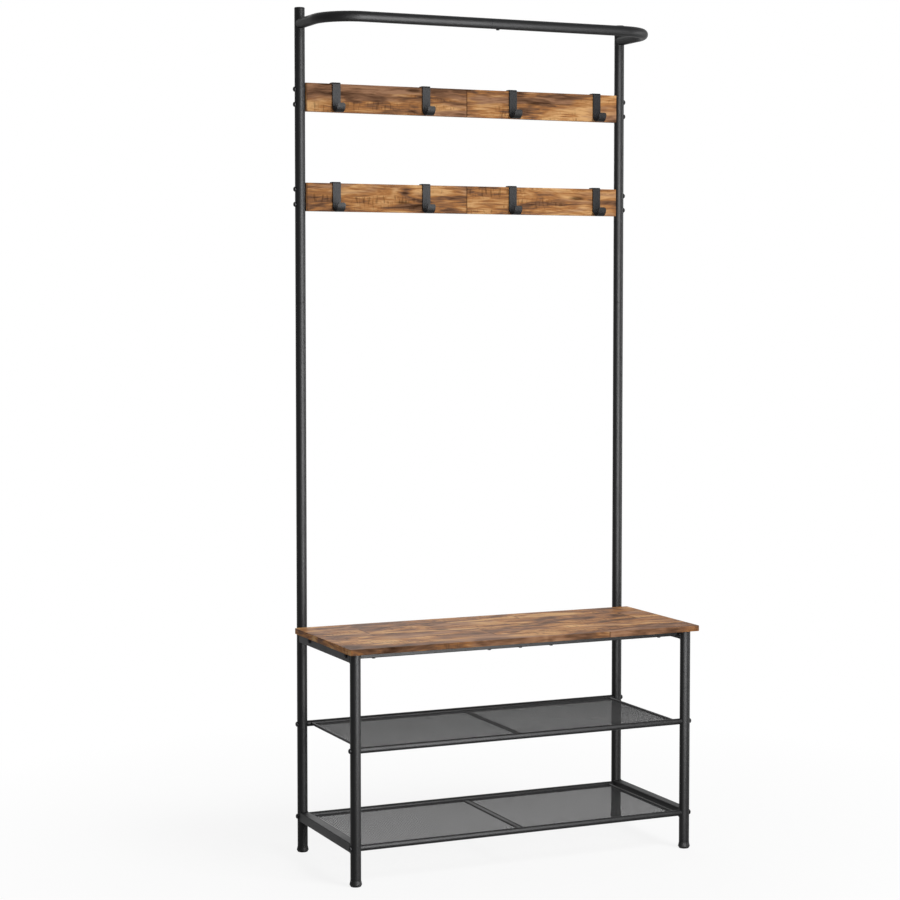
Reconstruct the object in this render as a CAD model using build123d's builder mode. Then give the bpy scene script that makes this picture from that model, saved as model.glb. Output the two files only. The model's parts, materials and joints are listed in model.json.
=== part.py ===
"""Hall tree: a bench on a tube frame, with wire shelves, hook boards and a hanging rail.

Millimetres. +Z is up, +X is right, -Y is the front. The origin is on the floor,
at the centre of the whole footprint.
"""

import os

from build123d import *

# Round tube of the legs, posts and hanging rail
tube_diameter = 22.0
tube_wall = 1.2
tube_edge = 0.4
leg_spacing_y = 308.0
total_height = 1800.0

# Swaged joints, where one tube end is drawn down to plug into the next
post_seam_drop = 621.0
spigot_length = 40.0
spigot_clearance = 0.2
spigot_neck = 6.0

# Levelling feet and the plugs in the tube ends
foot_height = 13.0
foot_rest_diameter = 21.0
foot_flare_diameter = 25.6
foot_flare_height = 4.0
foot_edge_radius = 1.5
foot_gap = 0.3
stud_diameter = 7.4
stud_clearance = 0.3
stud_reach = 32.0
stud_root = 8.0
plug_flange = 2.0
plug_length = 25.0
cap_edge = 1.0

# Seat board
seat_width = 806.0
seat_side_overhang = 20.5
seat_front_overhang = 25.5
seat_rear_gap = 0.3
seat_thickness = 12.0
seat_top_z = 487.0
seat_corner_radius = 3.0
seat_edge_radius = 1.5

# Square tube side rails, under the seat and beside the low shelf
side_rail_size = 20.0
side_rail_wall = 1.2
side_rail_corner = 2.0

# Square tube rails that carry the seat board
seat_rail_size = 15.0
seat_rail_wall = 1.2
seat_rail_corner = 1.8
seat_front_rail_set = 26.0
seat_rear_rail_set = 73.0
seat_screw_inner_x = 72.0
seat_screw_end_set = 40.5

# Shelves
low_shelf_z = 77.4
mid_shelf_z = 277.0
shelf_tube_diameter = 12.7
shelf_tube_wall = 1.0
end_bar_diameter = 6.0
end_bar_inset = 20.5
cross_bar_width = 12.0
cross_bar_thickness = 3.0
mesh_thickness = 1.5
mesh_strand = 3.0
mesh_border = 4.0
mesh_columns = 8
mesh_rows = 7

# Hook boards
board_height = 60.0
board_thickness = 15.0
board_edge_radius = 1.0
upper_board_drop = 187.0
board_pitch = 210.0
board_bolt_spacing = 32.0

# Strap hooks, which hang over a board
hook_count = 4
hook_first_set = 68.5
hook_last_set = 50.5
hook_width = 18.0
hook_strap = 2.5
hook_clearance = 0.3
hook_back_length = 28.0
hook_drop = 61.0
hook_reach = 31.0
hook_tip_height = 19.0
hook_bend_radius = 2.5
hook_end_radius = 5.0

# Hanging rail
rail_drop = 34.0
rail_reach = 168.0
rail_bend_radius = 80.0
rail_seam_x = -17.6
rail_end_set = 6.0
rail_screw_x = 0.0

# Bolts, inserts and screws
bolt_diameter = 6.0
bolt_hole_diameter = 6.6
bolt_head_diameter = 10.5
bolt_head_height = 3.3
bolt_head_edge = 1.4
bolt_socket = 4.0
bolt_socket_depth = 1.8
bolt_grip = 12.0
insert_length = 16.0
insert_set = 2.5
board_insert_diameter = 10.0
screw_diameter = 4.0
screw_head_diameter = 7.6
screw_head_height = 2.2
screw_head_edge = 0.8
screw_bite = 8.0
rail_screw_bite = 6.0

# Values that follow from the sizes above
leg_spacing_x = seat_width - 2 * seat_side_overhang
leg_x = leg_spacing_x / 2
tube_radius = tube_diameter / 2
total_depth = seat_front_overhang + leg_spacing_y + tube_radius + bolt_head_height
front_leg_y = seat_front_overhang - total_depth / 2
rear_leg_y = front_leg_y + leg_spacing_y
leg_mid_y = (front_leg_y + rear_leg_y) / 2
bore_radius = tube_radius - tube_wall
spigot_radius = bore_radius - spigot_clearance
tube_bottom_z = foot_height + plug_flange
seat_front_y = front_leg_y - seat_front_overhang
seat_rear_y = rear_leg_y - tube_radius - seat_rear_gap
seat_mid_y = (seat_front_y + seat_rear_y) / 2
seat_bottom_z = seat_top_z - seat_thickness
seat_front_rail_y = front_leg_y + seat_front_rail_set
seat_rear_rail_y = rear_leg_y - seat_rear_rail_set
seat_side_rail_z = seat_bottom_z - side_rail_size / 2
seat_rail_z = seat_bottom_z - seat_rail_size / 2
seat_rail_bore = seat_rail_size - 2 * seat_rail_wall
side_rail_inner_x = leg_x - side_rail_size / 2
side_rail_outer_x = leg_x + side_rail_size / 2
seat_screw_outer_x = side_rail_inner_x - seat_screw_end_set
tube_inner_x = leg_x - tube_radius
tube_outer_x = leg_x + tube_radius
shelf_tube_radius = shelf_tube_diameter / 2
shelf_tube_bore = shelf_tube_radius - shelf_tube_wall
end_bar_x = leg_x - end_bar_inset
post_seam_z = total_height - post_seam_drop
upper_board_z = total_height - upper_board_drop
lower_board_z = upper_board_z - board_pitch
board_front_y = rear_leg_y - board_thickness / 2
board_back_y = rear_leg_y + board_thickness / 2
hook_pitch = (2 * tube_inner_x - hook_first_set - hook_last_set) / (hook_count - 1)
rail_z = total_height - rail_drop
rail_y = rear_leg_y - rail_reach

SIDES = {"left": -1, "right": 1}
DEPTHS = {"front": front_leg_y, "rear": rear_leg_y}
SHELVES = {"low": low_shelf_z, "mid": mid_shelf_z}
BOARDS = {"upper": upper_board_z, "lower": lower_board_z}
SEAT_RAILS = {"seat_front_rail": seat_front_rail_y, "seat_rear_rail": seat_rear_rail_y}
SEAT_SCREWS_X = (-seat_screw_outer_x, -seat_screw_inner_x, 0, seat_screw_inner_x, seat_screw_outer_x)

os.makedirs("parts", exist_ok=True)


def save(piece, name):
    """Label a finished piece and write it under its own name."""
    piece.label = name
    export_step(piece, f"parts/{name}.step")


def along_x(x, y, z, way=1):
    """A plane at a point whose normal runs along X, to the right or the left."""
    return Plane(origin=(x, y, z), x_dir=(0, way, 0), z_dir=(way, 0, 0))


def along_y(x, y, z, way=1):
    """A plane at a point whose normal runs along Y, to the back or the front."""
    return Plane(origin=(x, y, z), x_dir=(-way, 0, 0), z_dir=(0, way, 0))


def pipe(plane, length, radius=tube_radius, bore=bore_radius):
    """A straight round tube that starts on a plane, with the outer edges of its ends eased."""
    with BuildPart() as piece:
        with BuildSketch(plane):
            Circle(radius)
            Circle(bore, mode=Mode.SUBTRACT)
        extrude(amount=length)
        ends = piece.faces().filter_by(GeomType.PLANE)
        chamfer([end.outer_wire().edge() for end in ends], tube_edge)
    return piece.part


def box_pipe(plane, length, size, wall, corner):
    """A straight square tube with rounded corners that starts on a plane."""
    with BuildPart() as piece:
        with BuildSketch(plane):
            RectangleRounded(size, size, corner)
            bore = size - 2 * wall
            RectangleRounded(bore, bore, max(corner - wall, wall / 2), mode=Mode.SUBTRACT)
        extrude(amount=length)
    return piece.part


def spigot(length):
    """The drawn-down end of a round tube: a neck inside the tube, then a plug that stands out along +Z."""
    inner_radius = spigot_radius - tube_wall
    with BuildPart() as piece:
        with BuildSketch(Plane.XZ):
            with BuildLine():
                Polyline(
                    (bore_radius, -spigot_neck),
                    (bore_radius, 0),
                    (spigot_radius, 0),
                    (spigot_radius, length),
                    (inner_radius, length),
                    (inner_radius, 0),
                    close=True,
                )
            make_face()
        revolve(axis=Axis.Z)
    return piece.part


def bolt(length):
    """A button-head socket bolt: its head stands on +Z, its shank runs down from the origin."""
    with BuildPart() as piece:
        Cylinder(bolt_head_diameter / 2, bolt_head_height, align=(Align.CENTER, Align.CENTER, Align.MIN))
        chamfer(piece.edges().group_by(Axis.Z)[-1], bolt_head_edge)
        with BuildSketch(piece.faces().sort_by(Axis.Z)[-1]):
            RegularPolygon(bolt_socket / 2, 6, major_radius=False)
        extrude(amount=-bolt_socket_depth, mode=Mode.SUBTRACT)
        Cylinder(bolt_diameter / 2, length, align=(Align.CENTER, Align.CENTER, Align.MAX))
    return piece.part


def screw(length):
    """A pan-head screw: its head stands on +Z, its shank runs down from the origin."""
    with BuildPart() as piece:
        Cylinder(screw_head_diameter / 2, screw_head_height, align=(Align.CENTER, Align.CENTER, Align.MIN))
        chamfer(piece.edges().group_by(Axis.Z)[-1], screw_head_edge)
        Cylinder(screw_diameter / 2, length, align=(Align.CENTER, Align.CENTER, Align.MAX))
    return piece.part


def copies(piece, planes):
    """One group of separate solids: the same piece set on each plane."""
    with BuildPart() as group:
        with Locations(*planes):
            add(piece)
    return group.part


def round_insert(radius, length):
    """A threaded sleeve whose open end is at the origin and whose body runs down from it."""
    with BuildPart() as piece:
        with BuildSketch():
            Circle(radius)
            Circle(bolt_diameter / 2, mode=Mode.SUBTRACT)
        extrude(amount=-length)
    return piece.part


# Legs: drilled across for the shelf bolts
leg_tops = {"front": seat_bottom_z - plug_flange, "rear": seat_bottom_z}
for side, way_x in SIDES.items():
    x = way_x * leg_x
    for depth, y in DEPTHS.items():
        with BuildPart() as leg:
            add(pipe(Plane(origin=(x, y, tube_bottom_z)), leg_tops[depth] - tube_bottom_z))
            with Locations(*[(x, y, z) for z in SHELVES.values()]):
                Cylinder(bolt_hole_diameter / 2, 2 * tube_diameter, rotation=(0, 90, 0), mode=Mode.SUBTRACT)
        save(leg.part, f"{side}_{depth}_leg")

# Levelling feet: a flared base on a threaded stud
foot_top_z = foot_height - foot_gap
for side, way_x in SIDES.items():
    x = way_x * leg_x
    for depth, y in DEPTHS.items():
        with BuildPart() as foot:
            with BuildSketch(Plane(origin=(x, y, 0), x_dir=(1, 0, 0), z_dir=(0, -1, 0))) as foot_profile:
                with BuildLine():
                    Polyline(
                        (0, 0),
                        (foot_rest_diameter / 2, 0),
                        (foot_flare_diameter / 2, foot_flare_height),
                        (tube_radius, foot_top_z),
                        (0, foot_top_z),
                        close=True,
                    )
                make_face()
                fillet(foot_profile.vertices().group_by(Axis.X)[-1], foot_edge_radius)
            revolve(axis=Axis((x, y, 0), (0, 0, 1)))
            with Locations((x, y, foot_top_z)):
                Cylinder(
                    stud_diameter / 2,
                    stud_root,
                    align=(Align.CENTER, Align.CENTER, Align.MAX),
                    mode=Mode.SUBTRACT,
                )
        save(foot.part, f"{side}_{depth}_foot")

        with BuildPart() as stud:
            with BuildSketch(Plane(origin=(x, y, foot_top_z - stud_root))):
                Circle(stud_diameter / 2)
            extrude(amount=stud_root + stud_reach)
        save(stud.part, f"{side}_{depth}_foot_stud")

# Threaded plugs in the leg bottoms, which the foot studs run in
with BuildPart() as foot_insert:
    Cylinder(tube_radius, plug_flange, align=(Align.CENTER, Align.CENTER, Align.MIN))
    Cylinder(bore_radius, plug_flange + plug_length, align=(Align.CENTER, Align.CENTER, Align.MIN))
    Hole(stud_diameter / 2 + stud_clearance)
leg_points = [(way_x * leg_x, y) for way_x in SIDES.values() for y in DEPTHS.values()]
save(copies(foot_insert.part, [Plane(origin=(x, y, foot_height)) for x, y in leg_points]), "foot_inserts")

# Plugs that close the tops of the front legs
with BuildPart() as leg_plug:
    Cylinder(tube_radius, plug_flange, align=(Align.CENTER, Align.CENTER, Align.MAX))
    Cylinder(bore_radius, plug_flange + plug_length, align=(Align.CENTER, Align.CENTER, Align.MAX))
plug_planes = [Plane(origin=(way_x * leg_x, front_leg_y, seat_bottom_z)) for way_x in SIDES.values()]
save(copies(leg_plug.part, plug_planes), "front_leg_plugs")

# Side rails: square tube from front leg to rear leg, each end coped onto its leg
for side, way_x in SIDES.items():
    for level, z in {"seat": seat_side_rail_z, "lower": low_shelf_z}.items():
        x = way_x * leg_x
        with BuildPart() as side_rail:
            add(
                box_pipe(
                    along_y(x, front_leg_y, z),
                    leg_spacing_y,
                    side_rail_size,
                    side_rail_wall,
                    side_rail_corner,
                )
            )
            with Locations((x, front_leg_y, z), (x, rear_leg_y, z)):
                Cylinder(tube_radius, 2 * side_rail_size, mode=Mode.SUBTRACT)
            if level == "seat":
                with Locations(*[(x, y, seat_rail_z) for y in SEAT_RAILS.values()]):
                    Cylinder(
                        bolt_hole_diameter / 2,
                        2 * side_rail_size,
                        rotation=(0, 90, 0),
                        mode=Mode.SUBTRACT,
                    )
        save(side_rail.part, f"{side}_{level}_side_rail")

# Seat rails: from side rail to side rail, drilled upwards for the seat screws
for name, y in SEAT_RAILS.items():
    with BuildPart() as seat_rail:
        add(
            box_pipe(
                along_x(-side_rail_inner_x, y, seat_rail_z),
                2 * side_rail_inner_x,
                seat_rail_size,
                seat_rail_wall,
                seat_rail_corner,
            )
        )
        with Locations(*[(x, y, seat_rail_z) for x in SEAT_SCREWS_X]):
            Cylinder(screw_diameter / 2, 2 * seat_rail_size, mode=Mode.SUBTRACT)
    save(seat_rail.part, name)

with BuildPart() as seat_rail_insert:
    with BuildSketch():
        insert_corner = max(seat_rail_corner - seat_rail_wall, seat_rail_wall / 2)
        RectangleRounded(seat_rail_bore, seat_rail_bore, insert_corner)
        Circle(bolt_diameter / 2, mode=Mode.SUBTRACT)
    extrude(amount=-insert_length)
seat_rail_ends = [(way_x, y) for way_x in SIDES.values() for y in SEAT_RAILS.values()]
insert_planes = [along_x(way_x * side_rail_inner_x, y, seat_rail_z, way_x) for way_x, y in seat_rail_ends]
save(copies(seat_rail_insert.part, insert_planes), "seat_rail_inserts")

bolt_planes = [along_x(way_x * side_rail_outer_x, y, seat_rail_z, way_x) for way_x, y in seat_rail_ends]
save(copies(bolt(side_rail_size + bolt_grip), bolt_planes), "seat_rail_bolts")

# Seat board: rounded top edges, its rear edge in front of the posts
with BuildPart() as seat_board:
    with BuildSketch(Plane(origin=(0, seat_mid_y, seat_bottom_z))):
        RectangleRounded(seat_width, seat_rear_y - seat_front_y, seat_corner_radius)
    extrude(amount=seat_thickness)
    fillet(seat_board.faces().sort_by(Axis.Z)[-1].edges(), seat_edge_radius)
    with Locations(*[(x, y, seat_bottom_z) for x in SEAT_SCREWS_X for y in SEAT_RAILS.values()]):
        Cylinder(
            screw_diameter / 2,
            screw_bite,
            align=(Align.CENTER, Align.CENTER, Align.MIN),
            mode=Mode.SUBTRACT,
        )
save(seat_board.part, "seat_board")

screw_planes = [
    Plane(origin=(x, y, seat_bottom_z - seat_rail_size), z_dir=(0, 0, -1))
    for x in SEAT_SCREWS_X
    for y in SEAT_RAILS.values()
]
save(copies(screw(seat_rail_size + screw_bite), screw_planes), "seat_screws")

# Shelves: two alike, each a front and a rear tube, bars between them, and a diamond mesh at mid height
bay_start = cross_bar_width / 2
bay_end = end_bar_x - end_bar_diameter / 2 - mesh_border
bay_centre = (bay_start + bay_end) / 2
mesh_depth = leg_spacing_y - shelf_tube_diameter - 2 * mesh_border
cell_x = (bay_end - bay_start) / mesh_columns
cell_y = mesh_depth / mesh_rows
gap_x = cell_x / 2 - mesh_strand
gap_y = cell_y / 2 - mesh_strand
shelf_pieces = {}
for depth, y in DEPTHS.items():
    with BuildPart() as shelf_tube:
        add(pipe(along_x(-leg_x, y, 0), leg_spacing_x, shelf_tube_radius, shelf_tube_bore))
        with Locations((-leg_x, y, 0), (leg_x, y, 0)):
            Cylinder(tube_radius, 2 * shelf_tube_diameter, mode=Mode.SUBTRACT)
        with Locations((-leg_x, leg_mid_y, 0), (leg_x, leg_mid_y, 0)):
            Box(side_rail_size, leg_spacing_y, side_rail_size, mode=Mode.SUBTRACT)
    shelf_pieces[f"{depth}_tube"] = shelf_tube.part

with BuildPart() as end_bars:
    with BuildSketch(along_y(0, front_leg_y, 0)):
        with Locations((-end_bar_x, 0), (end_bar_x, 0)):
            Circle(end_bar_diameter / 2)
    extrude(amount=leg_spacing_y)
    with Locations((0, front_leg_y, 0), (0, rear_leg_y, 0)):
        Cylinder(shelf_tube_radius, leg_spacing_x, rotation=(0, 90, 0), mode=Mode.SUBTRACT)
shelf_pieces["end_bars"] = end_bars.part

with BuildPart() as cross_bar:
    with BuildSketch(Plane(origin=(0, leg_mid_y, -mesh_thickness / 2))):
        Rectangle(cross_bar_width, leg_spacing_y)
    extrude(amount=-cross_bar_thickness)
    with Locations((0, front_leg_y, 0), (0, rear_leg_y, 0)):
        Cylinder(shelf_tube_radius, leg_spacing_x, rotation=(0, 90, 0), mode=Mode.SUBTRACT)
shelf_pieces["cross_bar"] = cross_bar.part

with BuildPart() as mesh:
    with BuildSketch(Plane(origin=(0, leg_mid_y, -mesh_thickness / 2))):
        Rectangle(2 * end_bar_x, leg_spacing_y)
        with Locations((-bay_centre, 0), (bay_centre, 0)):
            with GridLocations(cell_x, cell_y, mesh_columns, mesh_rows):
                Polygon((-gap_x, 0), (0, -gap_y), (gap_x, 0), (0, gap_y), mode=Mode.SUBTRACT)
            with GridLocations(cell_x, cell_y, mesh_columns - 1, mesh_rows - 1):
                Polygon((-gap_x, 0), (0, -gap_y), (gap_x, 0), (0, gap_y), mode=Mode.SUBTRACT)
    extrude(amount=mesh_thickness)
    with Locations((0, front_leg_y, 0), (0, rear_leg_y, 0)):
        Cylinder(shelf_tube_radius, leg_spacing_x, rotation=(0, 90, 0), mode=Mode.SUBTRACT)
    with Locations((-end_bar_x, leg_mid_y, 0), (end_bar_x, leg_mid_y, 0)):
        Cylinder(end_bar_diameter / 2, leg_spacing_y, rotation=(90, 0, 0), mode=Mode.SUBTRACT)
shelf_pieces["mesh"] = mesh.part

for shelf, z in SHELVES.items():
    for piece_name, piece in shelf_pieces.items():
        save(copies(piece, [Plane.XY.offset(z)]), f"{shelf}_shelf_{piece_name}")

shelf_ends = [
    (way_x, y, z)
    for way_x in SIDES.values()
    for y in DEPTHS.values()
    for z in SHELVES.values()
]
insert_planes = [along_x(way_x * (tube_inner_x - insert_set), y, z, way_x) for way_x, y, z in shelf_ends]
save(copies(round_insert(shelf_tube_bore, insert_length), insert_planes), "shelf_tube_inserts")

bolt_planes = [along_x(way_x * tube_outer_x, y, z, way_x) for way_x, y, z in shelf_ends]
save(copies(bolt(tube_diameter + bolt_grip), bolt_planes), "shelf_bolts")

# Posts: two sections a side, each with a spigot down into the tube below
board_bolt_heights = [
    z + way_z * board_bolt_spacing / 2
    for z in BOARDS.values()
    for way_z in (-1, 1)
]
post_top_z = total_height - plug_flange
for side, way_x in SIDES.items():
    x = way_x * leg_x
    with BuildPart() as post_lower:
        add(pipe(Plane(origin=(x, rear_leg_y, seat_bottom_z)), post_seam_z - seat_bottom_z))
        with Locations(Plane(origin=(x, rear_leg_y, seat_bottom_z), z_dir=(0, 0, -1))):
            add(spigot(spigot_length))
    save(post_lower.part, f"{side}_post_lower")

    with BuildPart() as post_upper:
        add(pipe(Plane(origin=(x, rear_leg_y, post_seam_z)), post_top_z - post_seam_z))
        with Locations(Plane(origin=(x, rear_leg_y, post_seam_z), z_dir=(0, 0, -1))):
            add(spigot(spigot_length))
        with Locations(*[(x, rear_leg_y, z) for z in board_bolt_heights]):
            Cylinder(bolt_hole_diameter / 2, 2 * tube_diameter, rotation=(0, 90, 0), mode=Mode.SUBTRACT)
        with Locations((x, rear_leg_y, rail_z)):
            Cylinder(bolt_hole_diameter / 2, 2 * tube_diameter, rotation=(90, 0, 0), mode=Mode.SUBTRACT)
    save(post_upper.part, f"{side}_post_upper")

    with BuildPart() as post_cap:
        with Locations((x, rear_leg_y, post_top_z)):
            Cylinder(tube_radius, plug_flange, align=(Align.CENTER, Align.CENTER, Align.MIN))
        chamfer(post_cap.edges().group_by(Axis.Z)[-1], cap_edge)
        with Locations((x, rear_leg_y, post_top_z)):
            Cylinder(bore_radius, plug_length, align=(Align.CENTER, Align.CENTER, Align.MAX))
    save(post_cap.part, f"{side}_post_cap")

# Hook boards: bored in both ends for threaded inserts
for name, z in BOARDS.items():
    bolt_heights = (z - board_bolt_spacing / 2, z + board_bolt_spacing / 2)
    board_ends = [
        along_x(way_x * tube_inner_x, rear_leg_y, bolt_z, way_x)
        for way_x in SIDES.values()
        for bolt_z in bolt_heights
    ]
    with BuildPart() as board:
        with Locations((0, rear_leg_y, z)):
            Box(2 * tube_inner_x, board_thickness, board_height)
        fillet(board.edges().filter_by(Axis.X), board_edge_radius)
        with Locations(*board_ends):
            Cylinder(
                board_insert_diameter / 2,
                insert_length,
                align=(Align.CENTER, Align.CENTER, Align.MAX),
                mode=Mode.SUBTRACT,
            )
    save(board.part, f"{name}_hook_board")

board_bolt_points = [(way_x, z) for way_x in SIDES.values() for z in board_bolt_heights]
insert_planes = [along_x(way_x * tube_inner_x, rear_leg_y, z, way_x) for way_x, z in board_bolt_points]
save(copies(round_insert(board_insert_diameter / 2, insert_length), insert_planes), "hook_board_inserts")

bolt_planes = [along_x(way_x * tube_outer_x, rear_leg_y, z, way_x) for way_x, z in board_bolt_points]
save(copies(bolt(tube_diameter + bolt_grip), bolt_planes), "hook_board_bolts")

# Strap hooks: one flat strip, folded over the board's top edge and curled forward at the bottom
hook_front_y = board_front_y - hook_clearance - hook_strap / 2
hook_back_y = board_back_y + hook_clearance + hook_strap / 2
curl_radius = (hook_reach - hook_strap) / 2
for name, z in BOARDS.items():
    board_top_z = z + board_height / 2
    strap_top_z = board_top_z + hook_clearance + hook_strap / 2
    curl_z = board_top_z - hook_drop + curl_radius + hook_strap / 2
    tip_z = board_top_z - hook_drop + hook_tip_height
    for number in range(hook_count):
        x = hook_first_set - tube_inner_x + number * hook_pitch
        with BuildPart() as hook:
            with BuildLine(Plane(origin=(x, 0, 0), x_dir=(0, 1, 0), z_dir=(1, 0, 0))) as strap_line:
                FilletPolyline(
                    (hook_back_y, board_top_z - hook_back_length),
                    (hook_back_y, strap_top_z),
                    (hook_front_y, strap_top_z),
                    (hook_front_y, curl_z),
                    radius=hook_bend_radius,
                )
                JernArc((hook_front_y, curl_z), (0, -1), curl_radius, -180)
                Line((hook_front_y - 2 * curl_radius, curl_z), (hook_front_y - 2 * curl_radius, tip_z))
            strap_start = Plane(
                origin=(x, hook_back_y, board_top_z - hook_back_length),
                x_dir=(1, 0, 0),
                z_dir=(0, 0, 1),
            )
            with BuildSketch(strap_start):
                Rectangle(hook_width, hook_strap)
            sweep(path=strap_line.wires()[0])
            strap_corners = hook.edges().filter_by(Axis.Y)
            tip_corners = strap_corners.filter_by_position(Axis.Z, tip_z - hook_strap, tip_z + hook_strap)
            back_corners = strap_corners.filter_by_position(
                Axis.Z,
                board_top_z - hook_back_length - hook_strap,
                board_top_z - hook_back_length + hook_strap,
            )
            fillet(tip_corners.sort_by(Axis.Y)[:2] + back_corners, hook_end_radius)
        save(hook.part, f"{name}_hook_{number + 1}")

# Hanging rail: two bent halves, joined by a spigot on the left half
for side, way_x in SIDES.items():
    x = way_x * leg_x
    with BuildPart() as rail_half:
        with BuildLine(Plane.XY.offset(rail_z)) as rail_line:
            rail_run = Line((x, rear_leg_y - rail_end_set), (x, rail_y + rail_bend_radius))
            rail_bend = JernArc(rail_run @ 1, rail_run % 1, rail_bend_radius, -90 * way_x)
            Line(rail_bend @ 1, (rail_seam_x, rail_y))
        with BuildSketch(along_y(x, rear_leg_y - rail_end_set, rail_z, -1)):
            Circle(tube_radius)
            Circle(bore_radius, mode=Mode.SUBTRACT)
        sweep(path=rail_line.wires()[0])
        seam = rail_half.faces().filter_by(Axis.X).sort_by_distance((rail_seam_x, rail_y, rail_z))[0]
        chamfer(seam.outer_wire().edge(), tube_edge)
        with Locations((x, rear_leg_y, rail_z)):
            Cylinder(tube_radius, 2 * tube_diameter, mode=Mode.SUBTRACT)
        if side == "left":
            with Locations(along_x(rail_seam_x, rail_y, rail_z)):
                add(spigot(spigot_length))
        with Locations((rail_screw_x, rail_y, rail_z)):
            Cylinder(
                screw_diameter / 2,
                tube_diameter,
                align=(Align.CENTER, Align.CENTER, Align.MAX),
                mode=Mode.SUBTRACT,
            )
    save(rail_half.part, f"rail_{side}_half")

with BuildPart() as rail_joint_screw:
    with Locations(Plane(origin=(rail_screw_x, rail_y, rail_z - tube_radius), z_dir=(0, 0, -1))):
        add(screw(rail_screw_bite))
save(rail_joint_screw.part, "rail_joint_screw")

rail_insert_y = rear_leg_y - tube_radius - insert_set
insert_planes = [along_y(way_x * leg_x, rail_insert_y, rail_z) for way_x in SIDES.values()]
save(copies(round_insert(bore_radius, insert_length), insert_planes), "rail_end_inserts")

bolt_planes = [along_y(way_x * leg_x, rear_leg_y + tube_radius, rail_z) for way_x in SIDES.values()]
save(copies(bolt(tube_diameter + bolt_grip), bolt_planes), "rail_end_bolts")
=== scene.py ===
"""Looks of a hall tree with hooks: its finishes, fine shelf mesh, weld beads and a studio stage."""

import json
import math

import bpy
from mathutils import Euler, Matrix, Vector


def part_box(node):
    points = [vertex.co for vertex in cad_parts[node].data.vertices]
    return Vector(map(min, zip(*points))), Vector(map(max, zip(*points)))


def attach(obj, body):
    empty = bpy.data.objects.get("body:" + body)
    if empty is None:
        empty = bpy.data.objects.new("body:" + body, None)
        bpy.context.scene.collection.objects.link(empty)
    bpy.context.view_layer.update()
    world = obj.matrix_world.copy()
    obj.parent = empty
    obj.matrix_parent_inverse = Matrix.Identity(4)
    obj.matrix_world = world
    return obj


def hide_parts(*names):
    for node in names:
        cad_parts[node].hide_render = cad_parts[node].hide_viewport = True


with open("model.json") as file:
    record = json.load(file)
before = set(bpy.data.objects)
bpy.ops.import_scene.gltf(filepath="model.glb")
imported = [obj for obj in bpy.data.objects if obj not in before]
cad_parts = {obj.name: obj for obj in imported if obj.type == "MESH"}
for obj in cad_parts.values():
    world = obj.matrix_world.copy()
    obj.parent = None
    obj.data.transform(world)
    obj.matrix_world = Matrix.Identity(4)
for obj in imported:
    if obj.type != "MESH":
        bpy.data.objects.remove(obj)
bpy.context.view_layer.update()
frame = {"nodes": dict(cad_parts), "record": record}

bl_info = {
    "name": "Hall tree looks",
    "version": (1, 0, 0),
    "blender": (4, 5, 0),
    "location": "View3D > Sidebar > Hall tree",
    "description": "Finishes, shelf mesh, welds and a studio stage for a hall tree with hooks",
    "category": "Object",
}

MM = 0.001
SIDES = ("left", "right")
SHELVES = ("low", "mid")

# Most values of a noise texture lie between these two
NOISE_LOW = 0.3
NOISE_HIGH = 0.7

# Each lamp's place, aim, size and watts, and what it gives: diffuse light, gloss, and light on the wood
LAMPS = {
    "key softbox": ((1.4, -2.9, 3.5), (0.0, 0.0, 0.9), (1.8, 1.8), 145.0, {"diffuse", "wood"}),
    "rear softbox": ((0.6, 3.6, 2.6), (0.0, 0.0, 0.9), (2.4, 2.0), 48.0, {"diffuse", "gloss", "wood"}),
    "front strip": ((0.05, -1.1, 1.05), (0.05, 0.0, 1.05), (0.7, 1.9), 152.0, {"gloss"}),
    "side strip": ((2.5, -0.6, 1.05), (0.0, 0.0, 1.05), (0.6, 2.2), 70.0, {"gloss"}),
}

SLOT_NODES = {}
for subpart in frame["record"]["subparts"]:
    SLOT_NODES.setdefault(subpart["material_slot"], []).append(subpart["node"])


def linear(hex_colour):
    """Turn an sRGB hex colour into linear red, green and blue."""
    channels = [int(hex_colour[start:start + 2], 16) / 255 for start in (1, 3, 5)]
    return tuple(c / 12.92 if c <= 0.04045 else ((c + 0.055) / 1.055) ** 2.4 for c in channels)


class HallTreeMeshSettings(bpy.types.PropertyGroup):
    """Sizes of the expanded steel mesh in the shelves."""

    long_way: bpy.props.FloatProperty(
        name="Long way", description="Length of one diamond, along the shelf",
        default=10.0 * MM, min=4.0 * MM, unit="LENGTH")
    short_way: bpy.props.FloatProperty(
        name="Short way", description="Width of one diamond, front to back",
        default=5.8 * MM, min=2.0 * MM, unit="LENGTH")
    strand_width: bpy.props.FloatProperty(
        name="Strand width", description="Width of one strand of the mesh",
        default=0.6 * MM, min=0.2 * MM, unit="LENGTH")
    strand_depth: bpy.props.FloatProperty(
        name="Strand depth", description="Thickness of the sheet that the mesh is cut from",
        default=0.7 * MM, min=0.2 * MM, unit="LENGTH")
    tuck: bpy.props.FloatProperty(
        name="Tuck", description="How far the strands run into the tubes that they are welded to",
        default=1.0 * MM, min=0.0, unit="LENGTH")
    edge_wire: bpy.props.FloatProperty(
        name="Edge wire", description="Thickness of the wires that hold the cut mesh on the cross bar",
        default=0.8 * MM, min=0.2 * MM, unit="LENGTH")


class HallTreeWeldSettings(bpy.types.PropertyGroup):
    """Sizes of the weld beads on the side ladders."""

    bead_radius: bpy.props.FloatProperty(
        name="Bead radius", description="Half the width of a weld bead",
        default=1.1 * MM, min=0.2 * MM, unit="LENGTH")
    ripple: bpy.props.FloatProperty(
        name="Ripple", description="How much a bead swells and thins along its run",
        default=0.16, min=0.0, max=0.5, subtype="FACTOR")
    ripple_pitch: bpy.props.FloatProperty(
        name="Ripple pitch", description="Distance between two swells of a bead",
        default=2.4 * MM, min=0.5 * MM, unit="LENGTH")


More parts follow.
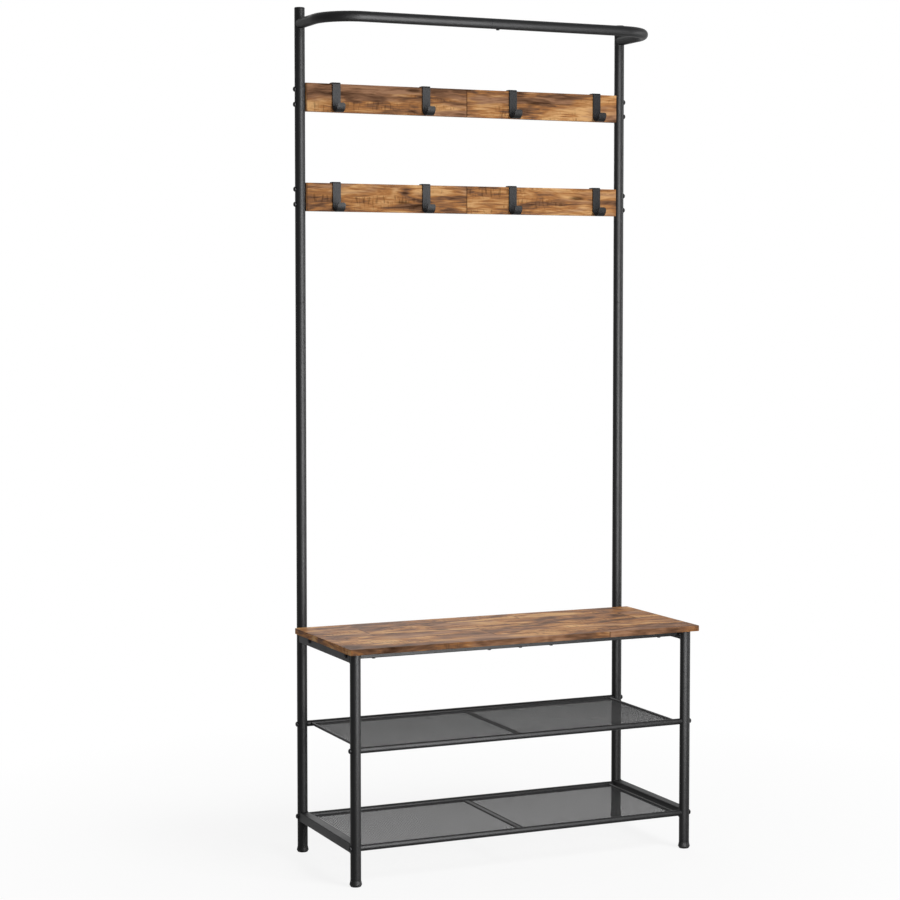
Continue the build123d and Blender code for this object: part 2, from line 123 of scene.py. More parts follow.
class HallTreeFinishSettings(bpy.types.PropertyGroup):
    """Colours of the finishes."""

    coat: bpy.props.FloatVectorProperty(
        name="Powder coat", description="Satin black of the tubes, mesh and hooks",
        default=linear("#111112"), min=0, max=1, subtype="COLOR")
    plastic: bpy.props.FloatVectorProperty(
        name="Plastic", description="Black of the feet, plugs and caps",
        default=linear("#191919"), min=0, max=1, subtype="COLOR")
    fastener: bpy.props.FloatVectorProperty(
        name="Fasteners", description="Black oxide of the bolts and screws",
        default=linear("#1c1c1e"), min=0, max=1, subtype="COLOR")
    zinc: bpy.props.FloatVectorProperty(
        name="Zinc", description="Plating of the studs and threaded inserts",
        default=linear("#bfc2c4"), min=0, max=1, subtype="COLOR")
    knot: bpy.props.FloatVectorProperty(
        name="Knots", description="Darkest brown of the printed wood: knots, saw marks and plank joints",
        default=linear("#40291a"), min=0, max=1, subtype="COLOR")
    sanded: bpy.props.FloatVectorProperty(
        name="Sanded wood", description="Orange-brown of the sanded planks",
        default=linear("#ab7546"), min=0, max=1, subtype="COLOR")
    worn: bpy.props.FloatVectorProperty(
        name="Worn wood", description="Pale tan where the planks are worn most",
        default=linear("#d4a672"), min=0, max=1, subtype="COLOR")
    weathered: bpy.props.FloatVectorProperty(
        name="Weathered wood", description="Grey-brown of the weathered patches",
        default=linear("#765641"), min=0, max=1, subtype="COLOR")
    bleached: bpy.props.FloatVectorProperty(
        name="Bleached wood", description="Pale grey-brown streaks in the weathered patches",
        default=linear("#a47b60"), min=0, max=1, subtype="COLOR")


class HallTreeStageSettings(bpy.types.PropertyGroup):
    """Camera, floor and lights."""

    camera_place: bpy.props.FloatVectorProperty(
        name="Camera place", description="Where the camera stands",
        default=(-2.0027, -4.2191, 1.1923), subtype="TRANSLATION", unit="LENGTH")
    camera_turn: bpy.props.FloatVectorProperty(
        name="Camera turn", description="Pitch from straight down, roll and heading",
        default=(math.radians(86.698), 0.0, math.radians(-24.199)), subtype="EULER", unit="ROTATION")
    lens: bpy.props.FloatProperty(
        name="Lens", description="Focal length in millimetres on a 36 mm sensor",
        default=87.67, min=1.0, subtype="NONE")
    shift: bpy.props.FloatProperty(
        name="Shift", description="Lens shift that places the object in the frame",
        default=-0.03, subtype="FACTOR")
    floor_size: bpy.props.FloatProperty(
        name="Floor size", description="Side of the floor",
        default=40.0, min=4.0, unit="LENGTH")
    backdrop_share: bpy.props.FloatProperty(
        name="Backdrop share", description="How much of the floor's look is the plain white backdrop",
        default=0.87, min=0.0, max=1.0, subtype="FACTOR")
    shadow_reach: bpy.props.FloatProperty(
        name="Shadow reach", description="Distance at which the floor has faded into the white backdrop",
        default=1.5, min=0.1, unit="LENGTH")
    ambient: bpy.props.FloatProperty(
        name="Ambient", description="Strength of the light from all around",
        default=0.18, min=0.0, subtype="NONE")


def node(tree, kind, links=None, stops=None, **settings):
    """Add a shader node with its settings; links maps a socket to a value or to another node's output."""
    made = tree.nodes.new(kind)
    for name, value in settings.items():
        setattr(made, name, value)
    for socket, value in (links or {}).items():
        if isinstance(value, bpy.types.NodeSocket):
            tree.links.new(value, made.inputs[socket])
        else:
            made.inputs[socket].default_value = value
    if stops:
        elements = made.color_ramp.elements
        while len(elements) < len(stops):
            elements.new(0.5)
        for element, (place, colour) in zip(elements, stops):
            element.position = place
            element.color = (*colour, 1.0)
    return made


def new_material(name):
    """An empty node material with its output; returns the material, its tree and the output node."""
    made = bpy.data.materials.new(name)
    made.use_nodes = True
    made.node_tree.nodes.clear()
    return made, made.node_tree, node(made.node_tree, "ShaderNodeOutputMaterial")


def dress(names, finish):
    """Give CAD nodes a finish on their own material slots."""
    for name in names:
        places = frame["nodes"][name].material_slots
        if not places:
            raise RuntimeError(f"{name} has no material slot")
        for place in places:
            place.material = finish


def new_piece(name, points, faces, finish, replaced=()):
    """Make a mesh piece that rides on the frame and wears the finish that it is given."""
    mesh = bpy.data.meshes.new(name)
    mesh.from_pydata(points, [], faces)
    mesh.validate()
    mesh.materials.append(finish)
    piece = bpy.data.objects.new(name, mesh)
    bpy.context.scene.collection.objects.link(piece)
    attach(piece, "frame")
    if replaced:
        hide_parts(*replaced)
    return piece


def powder_coat(name, colour, roughness, gloss, peel_depth):
    """Polyester powder coat, sprayed and baked: satin, faintly pebbled, a soft broad highlight."""
    peel_size = 2.5 * MM  # orange peel is about 1 mm; drawn coarser so that it shows
    drift_size = 60 * MM  # the sheen drifts slowly along a tube, as the film is never quite even
    sheen_drift = 0.04
    darkest, lightest = ([share * channel for channel in colour] for share in (0.8, 1.2))
    finish, tree, output = new_material(name)
    place = node(tree, "ShaderNodeTexCoord")
    peel = node(tree, "ShaderNodeTexNoise", {
        "Vector": place.outputs["Object"], "Scale": 1 / peel_size, "Detail": 2.0, "Roughness": 0.5})
    drift = node(tree, "ShaderNodeTexNoise", {
        "Vector": place.outputs["Object"], "Scale": 1 / drift_size, "Detail": 3.0, "Roughness": 0.6})
    sheen = node(tree, "ShaderNodeMapRange", {
        "Value": drift.outputs["Fac"], "From Min": NOISE_LOW, "From Max": NOISE_HIGH,
        "To Min": roughness - sheen_drift, "To Max": roughness + sheen_drift})
    shade = node(tree, "ShaderNodeValToRGB", {"Fac": peel.outputs["Fac"]},
                 stops=((NOISE_LOW, darkest), (NOISE_HIGH, lightest)))
    bump = node(tree, "ShaderNodeBump", {
        "Height": peel.outputs["Fac"], "Strength": 0.35, "Distance": peel_depth})
    shader = node(tree, "ShaderNodeBsdfPrincipled", {
        "Base Color": shade.outputs["Color"], "Roughness": sheen.outputs["Result"],
        "Normal": bump.outputs["Normal"], "IOR": 1.45, "Specular IOR Level": gloss})
    tree.links.new(shader.outputs["BSDF"], output.inputs["Surface"])
    return finish


def moulded_plastic(name, colour):
    """Polypropylene, injection moulded against a spark-eroded mould: matt, with a fine even grain."""
    grain_size = 1.2 * MM  # mould grain is about 0.2 mm; drawn coarser so that it shows
    grain_depth = 0.05 * MM
    darkest, lightest = ([share * channel for channel in colour] for share in (0.85, 1.15))
    finish, tree, output = new_material(name)
    place = node(tree, "ShaderNodeTexCoord")
    grain = node(tree, "ShaderNodeTexVoronoi", {"Vector": place.outputs["Object"], "Scale": 1 / grain_size})
    shade = node(tree, "ShaderNodeValToRGB", {"Fac": grain.outputs["Distance"]},
                 stops=((0.0, darkest), (0.8, lightest)))
    bump = node(tree, "ShaderNodeBump", {
        "Height": grain.outputs["Distance"], "Strength": 0.3, "Distance": grain_depth})
    shader = node(tree, "ShaderNodeBsdfPrincipled", {
        "Base Color": shade.outputs["Color"], "Roughness": 0.55, "Normal": bump.outputs["Normal"],
        "IOR": 1.49, "Specular IOR Level": 0.12})
    tree.links.new(shader.outputs["BSDF"], output.inputs["Surface"])
    return finish


def plated_steel(name, colour, metallic, roughness, gloss):
    """Steel with a thin plating: a fine speckle in tone and sheen, which breaks up the highlight."""
    speckle_size = 0.8 * MM  # plating crystals are far below 0.1 mm; drawn coarser so that they show
    sheen_drift = 0.06
    darkest = [0.9 * channel for channel in colour]
    finish, tree, output = new_material(name)
    place = node(tree, "ShaderNodeTexCoord")
    speckle = node(tree, "ShaderNodeTexNoise", {
        "Vector": place.outputs["Object"], "Scale": 1 / speckle_size, "Detail": 2.0})
    sheen = node(tree, "ShaderNodeMapRange", {
        "Value": speckle.outputs["Fac"], "From Min": NOISE_LOW, "From Max": NOISE_HIGH,
        "To Min": roughness - sheen_drift, "To Max": roughness + sheen_drift})
    shade = node(tree, "ShaderNodeValToRGB", {"Fac": speckle.outputs["Fac"]},
                 stops=((NOISE_LOW, darkest), (NOISE_HIGH, list(colour))))
    shader = node(tree, "ShaderNodeBsdfPrincipled", {
        "Base Color": shade.outputs["Color"], "Roughness": sheen.outputs["Result"], "Metallic": metallic,
        "Specular IOR Level": gloss})
    tree.links.new(shader.outputs["BSDF"], output.inputs["Surface"])
    return finish


def laminated_board(name, across, plank_size, plank_start, spread, colours):
    """Particle board under a printed wood foil: worn and weathered brown planks with a low sheen.

    Across is the axis over the planks, and spread widens the printed figure along it, as on a broad board.
    """
    finish, tree, output = new_material(name)
    place = node(tree, "ShaderNodeTexCoord")
    axes = node(tree, "ShaderNodeSeparateXYZ", {"Vector": place.outputs["Object"]})
    facing = node(tree, "ShaderNodeSeparateXYZ", {"Vector": place.outputs["Normal"]})
    through = "Z" if across == "Y" else "Y"
    face = node(tree, "ShaderNodeCombineXYZ", {
        "X": axes.outputs["X"], "Y": axes.outputs[across], "Z": axes.outputs[through]})
    # The edge band round the board has its grain along the edge, also at the two ends
    end_facing = 0.7  # a face whose normal lies further along X than this is an end
    band = node(tree, "ShaderNodeCombineXYZ", {
        "X": axes.outputs[across], "Y": axes.outputs[through], "Z": axes.outputs["X"]})
    sideways = node(tree, "ShaderNodeMath", {0: facing.outputs["X"]}, operation="ABSOLUTE")
    is_end = node(tree, "ShaderNodeMath", {0: sideways.outputs[0], 1: end_facing}, operation="GREATER_THAN")
    grain = node(tree, "ShaderNodeMix", {
        "Factor": is_end.outputs[0], "A": face.outputs["Vector"], "B": band.outputs["Vector"]},
        data_type="VECTOR")

    # Planks: rows across the board, staggered butt joints along it, and another piece of print on each
    plank_length, plank_width = plank_size
    row_stagger = 0.381  # how far the joints move from row to row, in planks
    print_stride = (9.0, 9.0, 9.0)  # how far apart the pieces of print can lie
    lie = node(tree, "ShaderNodeSeparateXYZ", {"Vector": grain.outputs["Result"]})
    row = node(tree, "ShaderNodeMath", {0: lie.outputs["Y"], 1: 1 / plank_width, 2: plank_start[1]},
               operation="MULTIPLY_ADD")
    row_number = node(tree, "ShaderNodeMath", {0: row.outputs[0]}, operation="FLOOR")
    stagger = node(tree, "ShaderNodeMath", {0: row_number.outputs[0], 1: row_stagger, 2: plank_start[0]},
                   operation="MULTIPLY_ADD")
    column = node(tree, "ShaderNodeMath", {0: lie.outputs["X"], 1: 1 / plank_length, 2: stagger.outputs[0]},
                  operation="MULTIPLY_ADD")
    column_number = node(tree, "ShaderNodeMath", {0: column.outputs[0]}, operation="FLOOR")
    plank = node(tree, "ShaderNodeCombineXYZ", {"X": column_number.outputs[0], "Y": row_number.outputs[0]})
    chance = node(tree, "ShaderNodeTexWhiteNoise", {"Vector": plank.outputs["Vector"]},
                  noise_dimensions="3D")
    print_shift = node(tree, "ShaderNodeVectorMath", {0: chance.outputs["Color"], 1: print_stride},
                       operation="MULTIPLY")

    # Grain at several sizes, each long along the plank and narrow across it; saw marks run the other way.
    # Each layer has its length, width, detail and distortion
    print_layers = {
        "patch": (170 * MM, 38 * MM * spread, 3.0, 1.2),
        "streak": (80 * MM, 10 * MM * spread, 3.0, 1.6),
        "fibre": (45 * MM, 2.4 * MM, 2.0, 0.2),
        "weather": (260 * MM, 46 * MM * spread, 3.0, 0.9),
        "saw": (5.0 * MM, 24 * MM, 1.0, 0.0),
    }
    spreads, layers = {}, {}
    for layer, (length, width, detail, distortion) in print_layers.items():
        spreads[layer] = node(tree, "ShaderNodeVectorMath", {
            0: grain.outputs["Result"], 1: (1 / length, 1 / width, 1 / width),
            2: print_shift.outputs["Vector"]}, operation="MULTIPLY_ADD").outputs["Vector"]
        layers[layer] = node(tree, "ShaderNodeTexNoise", {
            "Vector": spreads[layer], "Scale": 1.0, "Detail": detail, "Roughness": 0.55,
            "Distortion": distortion}).outputs["Fac"]

    # One tone from the patches, streaks and fibres gives both the sanded and the weathered colours
    tone_shares = {"patch": 0.52, "streak": 0.33, "fibre": 0.15}
    tone = 0.0
    for layer, share in tone_shares.items():
        tone = node(tree, "ShaderNodeMath", {0: layers[layer], 1: share, 2: tone},
                    operation="MULTIPLY_ADD").outputs[0]
    sanded = node(tree, "ShaderNodeValToRGB", {"Fac": tone}, stops=(
        (0.36, colours.knot), (0.44, colours.weathered), (0.51, colours.sanded), (0.59, colours.worn)))
    weathered = node(tree, "ShaderNodeValToRGB", {"Fac": tone}, stops=(
        (0.36, colours.knot), (0.47, colours.weathered), (0.58, colours.bleached)))
    plank_weather = 0.18  # how much more one plank can be weathered than another
    weather = node(tree, "ShaderNodeMath", {
        0: chance.outputs["Value"], 1: plank_weather, 2: layers["weather"]}, operation="MULTIPLY_ADD")
    amount = node(tree, "ShaderNodeMapRange", {
        "Value": weather.outputs[0], "From Min": 0.57, "From Max": 0.68, "To Min": 0.0, "To Max": 0.9})
    colour = node(tree, "ShaderNodeMix", {
        "Factor": amount.outputs["Result"], "A": sanded.outputs["Color"], "B": weathered.outputs["Color"]},
        data_type="RGBA").outputs["Result"]

    # Saw marks, where the wood isn't weathered
    marks = node(tree, "ShaderNodeMapRange", {
        "Value": layers["saw"], "From Min": 0.36, "From Max": 0.46, "To Min": 0.45, "To Max": 0.0})
    where = node(tree, "ShaderNodeMapRange", {
        "Value": layers["weather"], "From Min": 0.42, "From Max": 0.5, "To Min": 1.0, "To Max": 0.0})
    saw = node(tree, "ShaderNodeMath", {0: marks.outputs["Result"], 1: where.outputs["Result"]},
               operation="MULTIPLY").outputs[0]

    # A few long knots, in some of the cells of a coarse pattern
    cells_per_patch = 1.7
    empty_share = 0.78
    cells = node(tree, "ShaderNodeTexVoronoi", {"Vector": spreads["patch"], "Scale": cells_per_patch})
    rare = node(tree, "ShaderNodeSeparateXYZ", {"Vector": cells.outputs["Color"]})
    few = node(tree, "ShaderNodeMath", {0: rare.outputs["X"], 1: empty_share}, operation="GREATER_THAN")
    core = node(tree, "ShaderNodeMapRange", {
        "Value": cells.outputs["Distance"], "From Min": 0.1, "From Max": 0.24,
        "To Min": 0.8, "To Max": 0.0})
    knot = node(tree, "ShaderNodeMath", {0: few.outputs[0], 1: core.outputs["Result"]},
                operation="MULTIPLY").outputs[0]

    # The lines where two planks meet: dark at the joint, and gone a little way into the plank
    joint_line = 0.7 * MM
    joint_fade = 2.5 * MM
    joints = []
    for along, size in ((column, plank_length), (row, plank_width)):
        part = node(tree, "ShaderNodeMath", {0: along.outputs[0]}, operation="FRACT")
        offset = node(tree, "ShaderNodeMath", {0: part.outputs[0], 1: 0.5}, operation="SUBTRACT")
        middle = node(tree, "ShaderNodeMath", {0: offset.outputs[0]}, operation="ABSOLUTE")
        joints.append(node(tree, "ShaderNodeMapRange", {
            "Value": middle.outputs[0], "From Min": 0.5 - joint_fade / size,
            "From Max": 0.5 - joint_line / size, "To Min": 0.0, "To Max": 0.6}).outputs["Result"])
    for share in (saw, knot, *joints):
        colour = node(tree, "ShaderNodeMix", {"Factor": share, "A": colour, "B": (*colours.knot, 1.0)},
                      data_type="RGBA").outputs["Result"]

    fibre_depth = 0.12 * MM
    sheen = node(tree, "ShaderNodeMapRange", {
        "Value": layers["fibre"], "From Min": NOISE_LOW, "From Max": NOISE_HIGH,
        "To Min": 0.57, "To Max": 0.47})
    bump = node(tree, "ShaderNodeBump", {
        "Height": layers["fibre"], "Strength": 0.25, "Distance": fibre_depth})
    shader = node(tree, "ShaderNodeBsdfPrincipled", {
        "Base Color": colour, "Roughness": sheen.outputs["Result"], "Normal": bump.outputs["Normal"],
        "IOR": 1.45, "Specular IOR Level": 0.035})
    tree.links.new(shader.outputs["BSDF"], output.inputs["Surface"])
    return finish


def seen_directly(tree):
    """An output that is 1 on camera, glossy and transmission rays, and 0 on diffuse rays."""
    path = node(tree, "ShaderNodeLightPath")
    seen = path.outputs["Is Camera Ray"]
    for ray in ("Is Glossy Ray", "Is Transmission Ray"):
        seen = node(tree, "ShaderNodeMath", {0: seen, 1: path.outputs[ray]}, operation="MAXIMUM").outputs[0]
    return seen


def bar_between(start, end, width, depth):
    """Corners and faces of one straight rectangular strand that lies flat."""
    along = (end - start).normalized()
    side = Vector((-along.y, along.x, 0)) * (width / 2)
    up = Vector((0, 0, depth / 2))
    ring = (side + up, side - up, -side - up, -side + up)
    points = [start + corner for corner in ring] + [end + corner for corner in ring]
    faces = [(i, (i + 1) % 4, (i + 1) % 4 + 4, i + 4) for i in range(4)]
    return points, faces + [(3, 2, 1, 0), (4, 5, 6, 7)]


def clipped(origin, along, low, high):
    """Where a straight line enters and leaves a rectangle, or None if it misses it."""
    enter, leave = -math.inf, math.inf
    for axis in (0, 1):
        one = (low[axis] - origin[axis]) / along[axis]
        other = (high[axis] - origin[axis]) / along[axis]
        enter = max(enter, min(one, other))
        leave = min(leave, max(one, other))
    return (origin + along * enter, origin + along * leave) if leave > enter else None


def bead_ring(path, radius, ripple, ripple_pitch, sides=8):
    """Points and faces of a closed weld bead whose thickness ripples along its path."""
    count = len(path)
    points, run = [], 0.0
    for index, here in enumerate(path):
        along = (path[(index + 1) % count] - path[index - 1]).normalized()
        out = along.cross(Vector((0, 1, 0))).normalized()
        up = along.cross(out)
        swell = radius * (1 + ripple * math.sin(2 * math.pi * run / ripple_pitch))
        for step in range(sides):
            angle = 2 * math.pi * step / sides
            points.append(here + out * (swell * math.cos(angle)) + up * (swell * math.sin(angle)))
        run += (path[(index + 1) % count] - here).length
    faces = []
    for index in range(count):
        ring, next_ring = index * sides, (index + 1) % count * sides
        for step in range(sides):
            turn = (step + 1) % sides
            faces.append((ring + step, ring + turn, next_ring + turn, next_ring + step))
    return points, faces


def rounded_square(half, corner, steps=6):
    """Points round a square with rounded corners, centred on zero."""
    points = []
    for quarter in range(4):
        for step in range(steps + 1):
            angle = math.radians(90 * (quarter + step / steps))
            middle = math.radians(90 * quarter + 45)
            reach = (half - corner) * math.sqrt(2)
            points.append((reach * math.cos(middle) + corner * math.cos(angle),
                           reach * math.sin(middle) + corner * math.sin(angle)))
    return points


class HALLTREE_OT_steel_frame(bpy.types.Operator):
    """Powder coat the legs, posts, rails, shelf tubes and the hanging rail"""

    bl_idname = "hall_tree.steel_frame"
    bl_label = "Coat the steel frame"

    def execute(self, context):
        colours = context.scene.hall_tree_finish
        finish = powder_coat("Satin powder coat", colours.coat,
                             roughness=0.5, gloss=0.15, peel_depth=0.03 * MM)
        dress(SLOT_NODES["powder_coated_tube"], finish)
        return {"FINISHED"}


class HALLTREE_OT_shelf_mesh(bpy.types.Operator):
    """Lay the fine expanded mesh into both shelves"""

    bl_idname = "hall_tree.shelf_mesh"
    bl_label = "Lay the shelf mesh"

    def execute(self, context):
        sizes = context.scene.hall_tree_mesh
        coat = context.scene.hall_tree_finish.coat
        finish = powder_coat("Powder coated mesh", coat, roughness=0.5, gloss=0.15, peel_depth=0.04 * MM)
        dress(SLOT_NODES["powder_coated_mesh"], finish)
        for shelf in SHELVES:
            low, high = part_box(f"{shelf}_shelf_mesh")
            bays, wires = [(low, high)], []
            if shelf == "low":
                # The low shelf's mesh is cut along its cross bar, so that the top of the bar shows
                bar_low, bar_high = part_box("low_shelf_cross_bar")
                left_end = Vector((bar_low.x, high.y, high.z))
                right_start = Vector((bar_high.x, low.y, low.z))
                bays = [(low, left_end), (right_start, high)]
                wires = self.edge_wires(sizes, bar_low, bar_high, low.y, high.y)
            points, faces = [], []
            for bar_points, bar_faces in wires + self.strands(sizes, low, high, bays):
                faces += [tuple(corner + len(points) for corner in face) for face in bar_faces]
                points += bar_points
            new_piece(f"{shelf}_shelf_fine_mesh", points, faces, finish,
                      (f"{shelf}_shelf_mesh",))
        return {"FINISHED"}

    def edge_wires(self, sizes, bar_low, bar_high, front, rear):
        """Two thin wires on top of a cross bar, which hold the cut edges of the mesh."""
        inset = sizes.tuck - sizes.edge_wire / 2
        height = bar_high.z + sizes.edge_wire / 2
        wires = []
        for edge in (bar_low.x + inset, bar_high.x - inset):
            start = Vector((edge, front - sizes.tuck, height))
            end = Vector((edge, rear + sizes.tuck, height))
            wires.append(bar_between(start, end, sizes.edge_wire, sizes.edge_wire))
        return wires

    def strands(self, sizes, low, high, bays):
        """Two ways of slanting strands over the shelf, cut off at the edges of each bay."""
        slope = math.atan2(sizes.short_way, sizes.long_way)
        spacing = sizes.long_way * math.sin(slope)
        lift = sizes.strand_depth / 8  # one way of strands lies slightly above the other
        tuck = Vector((sizes.tuck, sizes.tuck, 0))
        middle = (low + high) / 2
        reach = (high - low).length / 2
        count = math.ceil(reach / spacing)
        bars = []
        for way in (-1, 1):
            along = Vector((math.cos(slope), way * math.sin(slope), 0))
            across = Vector((-along.y, along.x, 0))
            for number in range(-count, count + 1):
                origin = middle + across * (number * spacing) + Vector((0, 0, way * lift))
                for bay_low, bay_high in bays:
                    ends = clipped(origin, along, bay_low - tuck, bay_high + tuck)
                    if ends is not None:
                        bars.append(bar_between(*ends, sizes.strand_width, sizes.strand_depth))
        return bars


class HALLTREE_OT_welds(bpy.types.Operator):
    """Run a weld bead round each end of the side rails"""

    bl_idname = "hall_tree.welds"
    bl_label = "Weld the side ladders"

    def execute(self, context):
        sizes = context.scene.hall_tree_weld
        coat = context.scene.hall_tree_finish.coat
        finish = powder_coat("Coated weld", coat, roughness=0.5, gloss=0.15, peel_depth=0.06 * MM)
        for side in SIDES:
            points, faces = [], []
            for level in ("seat", "lower"):
                rail_low, rail_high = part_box(f"{side}_{level}_side_rail")
                rail_middle = (rail_low + rail_high) / 2
                half = (rail_high.x - rail_low.x) / 2
                corner = half / 5
                for depth, toward in (("front", 1), ("rear", -1)):
                    leg_low, leg_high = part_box(f"{side}_{depth}_leg")
                    leg_y = (leg_low.y + leg_high.y) / 2
                    leg_radius = (leg_high.y - leg_low.y) / 2
                    path = [
                        Vector((rail_middle.x + dx, leg_y + toward * math.sqrt(leg_radius**2 - dx**2),
                                rail_middle.z + dz))
                        for dx, dz in rounded_square(half, corner)
                    ]
                    ring_points, ring_faces = bead_ring(
                        path, sizes.bead_radius, sizes.ripple, sizes.ripple_pitch)
                    faces += [tuple(place + len(points) for place in face) for face in ring_faces]
                    points += ring_points
            beads = new_piece(f"{side}_ladder_welds", points, faces, finish)
            beads.data.shade_smooth()
        return {"FINISHED"}


class HALLTREE_OT_boards(bpy.types.Operator):
    """Wrap the seat board and the hook boards in wood foil"""

    bl_idname = "hall_tree.boards"
    bl_label = "Wrap the boards"

    def execute(self, context):
        colours = context.scene.hall_tree_finish
        # The start is in planks along and rows across; its whole part only picks another piece of print
        seat = laminated_board("Wood foil, seat", across="Y", plank_size=(620 * MM, 96 * MM),
                               plank_start=(10.463, 0.2), spread=2.0, colours=colours)
        dress(["seat_board"], seat)
        for name, start in (("upper", 2.947), ("lower", 20.328)):
            board = laminated_board(f"Wood foil, {name} board", across="Z", plank_size=(372 * MM, 210 * MM),
                                    plank_start=(start, 0.5), spread=1.0, colours=colours)
            dress([f"{name}_hook_board"], board)
        return {"FINISHED"}


class HALLTREE_OT_hooks(bpy.types.Operator):
    """Coat the strap hooks"""

    bl_idname = "hall_tree.hooks"
    bl_label = "Coat the hooks"

    def execute(self, context):
        colours = context.scene.hall_tree_finish
        finish = powder_coat("Coated strap hook", colours.coat,
                             roughness=0.55, gloss=0.11, peel_depth=0.05 * MM)
        dress(SLOT_NODES["coated_hook"], finish)
        return {"FINISHED"}


class HALLTREE_OT_small_parts(bpy.types.Operator):
    """Finish the plastic parts, the fasteners and the zinc plated inserts"""

    bl_idname = "hall_tree.small_parts"
    bl_label = "Finish the small parts"

    def execute(self, context):
        colours = context.scene.hall_tree_finish
        plastic = moulded_plastic("Moulded polypropylene", colours.plastic)
        # Black oxide hides the metal under it, so it has no metallic shine
        oxide = plated_steel("Black oxide steel", colours.fastener, metallic=0.0, roughness=0.5, gloss=0.12)
        zinc = plated_steel("Zinc plated steel", colours.zinc, metallic=1.0, roughness=0.35, gloss=0.5)
        dress(SLOT_NODES["black_plastic"], plastic)
        dress(SLOT_NODES["black_fastener"], oxide)
        dress(SLOT_NODES["zinc_steel"], zinc)
        return {"FINISHED"}


class HALLTREE_OT_stage(bpy.types.Operator):
    """Set up the camera, the pale floor, the white world and the studio lights"""

    bl_idname = "hall_tree.stage"
    bl_label = "Set the stage"

    def execute(self, context):
        scene = context.scene
        settings = scene.hall_tree_stage
        scene.view_settings.view_transform = "Standard"
        self.add_camera(scene, settings)
        self.add_floor(scene, settings)
        self.light_world(scene, settings)
        for name, (place, aim, size, watts, lights) in LAMPS.items():
            self.add_light(scene, name, Vector(place), Vector(aim), size, watts, lights)
        return {"FINISHED"}

    def add_camera(self, scene, settings):
        """A camera at the photographed viewpoint."""
        lens = bpy.data.cameras.new("camera")
        lens.sensor_width = 36.0
        lens.lens = settings.lens
        lens.shift_y = settings.shift
        lens.clip_end = 200.0
        camera = bpy.data.objects.new("camera", lens)
        camera.location = settings.camera_place
        camera.rotation_euler = Euler(settings.camera_turn)
        scene.collection.objects.link(camera)
        scene.camera = camera

    def add_floor(self, scene, settings):
        """A pale floor that looks like the white backdrop and keeps a soft shadow."""
        finish, tree, output = new_material("Pale studio floor")
        fade_start = settings.shadow_reach / 3
        place = node(tree, "ShaderNodeTexCoord")
        away = node(tree, "ShaderNodeVectorMath", {0: place.outputs["Object"]}, operation="LENGTH")
        fade = node(tree, "ShaderNodeMapRange", {
            "Value": away.outputs["Value"], "From Min": fade_start, "From Max": settings.shadow_reach,
            "To Min": settings.backdrop_share, "To Max": 1.0})
        share = node(tree, "ShaderNodeMath", {0: seen_directly(tree), 1: fade.outputs["Result"]},
                     operation="MULTIPLY")
        paint = node(tree, "ShaderNodeBsdfDiffuse", {"Color": (*linear("#f3f3f3"), 1.0)})
        white = node(tree, "ShaderNodeEmission", {"Color": (*linear("#ffffff"), 1.0), "Strength": 1.0})
        mix = node(tree, "ShaderNodeMixShader", {
            0: share.outputs[0], 1: paint.outputs[0], 2: white.outputs[0]})
        tree.links.new(mix.outputs[0], output.inputs["Surface"])
        half = settings.floor_size / 2
        mesh = bpy.data.meshes.new("floor")
        mesh.from_pydata([(-half, -half, 0), (half, -half, 0), (half, half, 0), (-half, half, 0)], [],
                         [(0, 1, 2, 3)])
        mesh.materials.append(finish)
        floor = bpy.data.objects.new("floor", mesh)
        scene.collection.objects.link(floor)

    def light_world(self, scene, settings):
        """A world that is plain white where it is seen, and soft ambient light elsewhere."""
        world = bpy.data.worlds.new("studio")
        world.use_nodes = True
        tree = world.node_tree
        tree.nodes.clear()
        strength = node(tree, "ShaderNodeMapRange", {
            "Value": seen_directly(tree), "To Min": settings.ambient, "To Max": 1.0})
        light = node(tree, "ShaderNodeBackground", {
            "Color": (*linear("#ffffff"), 1.0), "Strength": strength.outputs["Result"]})
        node(tree, "ShaderNodeOutputWorld", {"Surface": light.outputs[0]})
        scene.world = world

    def add_light(self, scene, name, place, aim, size, watts, lights):
        """A soft rectangular light that the camera doesn't see; lights names what it gives."""
        lamp = bpy.data.lights.new(name, "AREA")
        lamp.shape = "RECTANGLE"
        lamp.size, lamp.size_y = size
        lamp.energy = watts
        light = bpy.data.objects.new(name, lamp)
        light.location = place
        light.rotation_euler = (aim - place).to_track_quat("-Z", "Y").to_euler()
        light.visible_camera = False
        light.visible_diffuse = "diffuse" in lights
        light.visible_glossy = "gloss" in lights
        if "wood" not in lights:
            light.light_linking.receiver_collection = self.wood_left_out(name)
        scene.collection.objects.link(light)

    def wood_left_out(self, name):
        """A light linking collection that keeps a light off the wood foil, which would glare under it."""
        boards = bpy.data.collections.new(f"boards without {name}")
        for board in SLOT_NODES["laminated_board"]:
            boards.objects.link(frame["nodes"][board])
        for entry in boards.collection_objects:
            entry.light_linking.link_state = "EXCLUDE"
        return boards


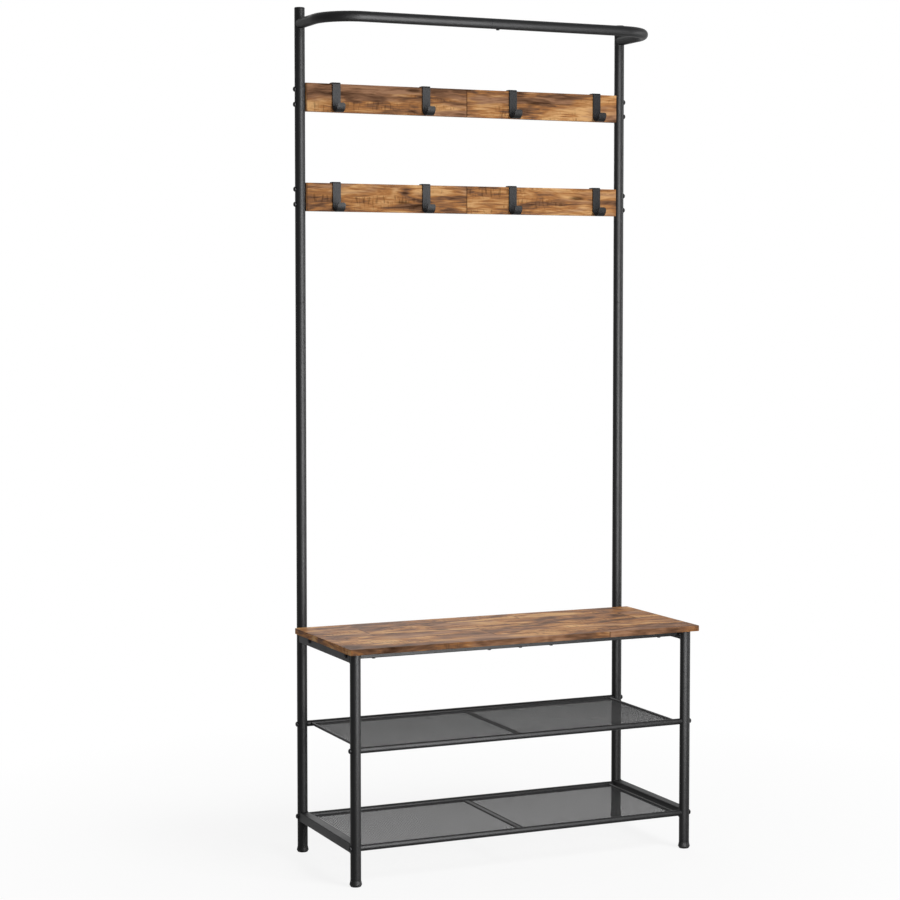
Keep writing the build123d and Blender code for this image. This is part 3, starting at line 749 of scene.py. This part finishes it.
class HALLTREE_PT_looks(bpy.types.Panel):
    """Lists what dresses the hall tree"""

    bl_label = "Hall tree"
    bl_idname = "HALLTREE_PT_looks"
    bl_space_type = "VIEW_3D"
    bl_region_type = "UI"
    bl_category = "Hall tree"

    def draw(self, context):
        for title, settings in (("Mesh", "hall_tree_mesh"), ("Welds", "hall_tree_weld"),
                                ("Finish", "hall_tree_finish"), ("Stage", "hall_tree_stage")):
            box = self.layout.box()
            box.label(text=title)
            group = getattr(context.scene, settings)
            for name in group.bl_rna.properties.keys():
                if name not in ("rna_type", "name"):
                    box.prop(group, name)
        for operator in OPERATORS:
            self.layout.operator(operator.bl_idname)


GROUPS = {
    "hall_tree_mesh": HallTreeMeshSettings,
    "hall_tree_weld": HallTreeWeldSettings,
    "hall_tree_finish": HallTreeFinishSettings,
    "hall_tree_stage": HallTreeStageSettings,
}
OPERATORS = (
    HALLTREE_OT_steel_frame,
    HALLTREE_OT_shelf_mesh,
    HALLTREE_OT_welds,
    HALLTREE_OT_boards,
    HALLTREE_OT_hooks,
    HALLTREE_OT_small_parts,
    HALLTREE_OT_stage,
)


def register():
    """Register the settings, operators and panel."""
    for name, group in GROUPS.items():
        bpy.utils.register_class(group)
        setattr(bpy.types.Scene, name, bpy.props.PointerProperty(type=group))
    for operator in OPERATORS:
        bpy.utils.register_class(operator)
    bpy.utils.register_class(HALLTREE_PT_looks)


def unregister():
    """Take the panel, operators and settings out again."""
    bpy.utils.unregister_class(HALLTREE_PT_looks)
    for operator in reversed(OPERATORS):
        bpy.utils.unregister_class(operator)
    for name, group in GROUPS.items():
        delattr(bpy.types.Scene, name)
        bpy.utils.unregister_class(group)


def main():
    """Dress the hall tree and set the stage."""
    register()
    bpy.ops.hall_tree.steel_frame()
    bpy.ops.hall_tree.shelf_mesh()
    bpy.ops.hall_tree.welds()
    bpy.ops.hall_tree.boards()
    bpy.ops.hall_tree.hooks()
    bpy.ops.hall_tree.small_parts()
    bpy.ops.hall_tree.stage()


if __name__ == "__main__":
    main()
